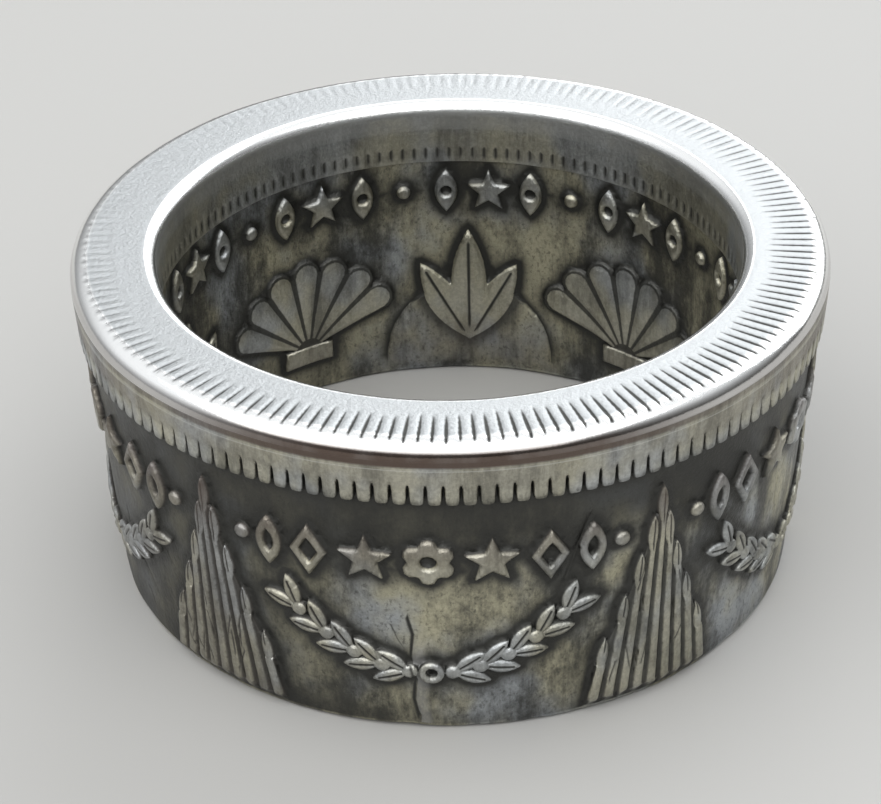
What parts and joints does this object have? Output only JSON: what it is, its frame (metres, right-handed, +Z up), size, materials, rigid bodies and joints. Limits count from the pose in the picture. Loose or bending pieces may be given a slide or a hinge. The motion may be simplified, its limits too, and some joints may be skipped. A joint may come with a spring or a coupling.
{
  "type": "coin ring",
  "caption": "Finger ring folded from one large silver coin, milled flat top, raised ornament on both walls.",
  "frame": {"origin": "centre of the foot edge's plane, on the surface the ring stands on", "axes": "+Z up along the ring's axis, from the thin foot edge to the milled top; -Y is the picture's side"},
  "size_m": [0.0272, 0.0272, 0.0124],
  "materials": {
    "coin_silver": "coin silver, oxidised dark in the sunk fields, polished on the rim and edges"
  },
  "bodies": {
    "root": {"coin_ring": "coin_silver"}
  },
  "joints": []
}
